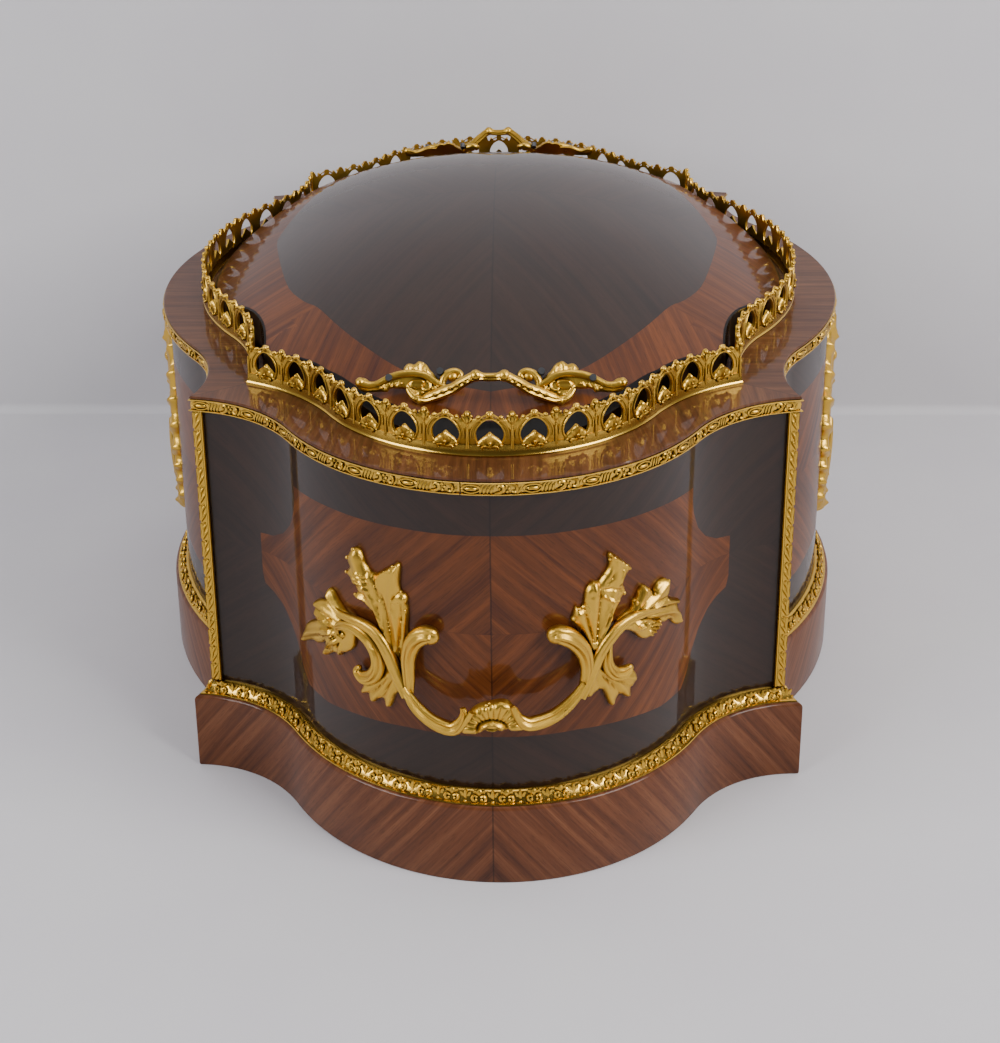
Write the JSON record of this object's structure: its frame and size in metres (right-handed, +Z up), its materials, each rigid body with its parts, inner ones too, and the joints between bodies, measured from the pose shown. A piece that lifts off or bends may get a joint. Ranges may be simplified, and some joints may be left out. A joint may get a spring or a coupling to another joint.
{
  "type": "jardiniere",
  "caption": "Serpentine veneered table planter box with a pierced gallery, a domed lift-off lid, a lift-out metal liner and cast foliate handles.",
  "frame": {"origin": "middle of the underside, on the surface the box stands on", "axes": "+Z up, Y along the length; the end seen in the picture faces -Y, +X is to its right"},
  "size_m": [0.2886, 0.3916, 0.1955],
  "materials": {
    "tulipwood": "crossbanded veneer, french polished",
    "kingwood": "dark quartered veneer, french polished",
    "oak": "plain unpolished",
    "gilt_brass": "cast, chased and gilded",
    "zinc_sheet": null,
    "steel": "plain screws"
  },
  "bodies": {
    "case": {"plinth_front": "tulipwood", "plinth_right": "tulipwood", "plinth_back": "tulipwood", "plinth_left": "tulipwood", "foot_moulding_front": "gilt_brass", "foot_moulding_right": "gilt_brass", "foot_moulding_back": "gilt_brass", "foot_moulding_left": "gilt_brass", "wall_front": "kingwood", "wall_right": "kingwood", "wall_back": "kingwood", "wall_left": "kingwood", "bottom_board": "oak", "glue_blocks": "oak", "ledge_strips": "oak", "rim_front": "tulipwood", "rim_right": "tulipwood", "rim_back": "tulipwood", "rim_left": "tulipwood", "band_front": "gilt_brass", "band_right": "gilt_brass", "band_back": "gilt_brass", "band_left": "gilt_brass", "corner_strip_front_left": "gilt_brass", "corner_strip_front_right": "gilt_brass", "corner_strip_back_right": "gilt_brass", "corner_strip_back_left": "gilt_brass", "gallery_front": "gilt_brass", "gallery_right": "gilt_brass", "gallery_back": "gilt_brass", "gallery_left": "gilt_brass", "end_handle_front": "gilt_brass", "end_handle_back": "gilt_brass", "end_handle_screws": "steel", "side_mount_right": "gilt_brass", "side_mount_left": "gilt_brass", "side_mount_screws": "steel"},
    "liner": {"liner": "zinc_sheet"},
    "lid": {"lid": "kingwood", "lid_cleats": "oak", "lid_handle_front": "gilt_brass", "lid_handle_back": "gilt_brass", "lid_handle_screws": "steel"}
  },
  "joints": [
    {"name": "liner_lift", "type": "slide", "parent": "case", "child": "liner", "axis": [0, 0, 1], "range_m": [0, 0.135]},
    {"name": "lid_lift", "type": "slide", "parent": "liner", "child": "lid", "axis": [0, 0, 1], "range_m": [0, 0.06]}
  ]
}
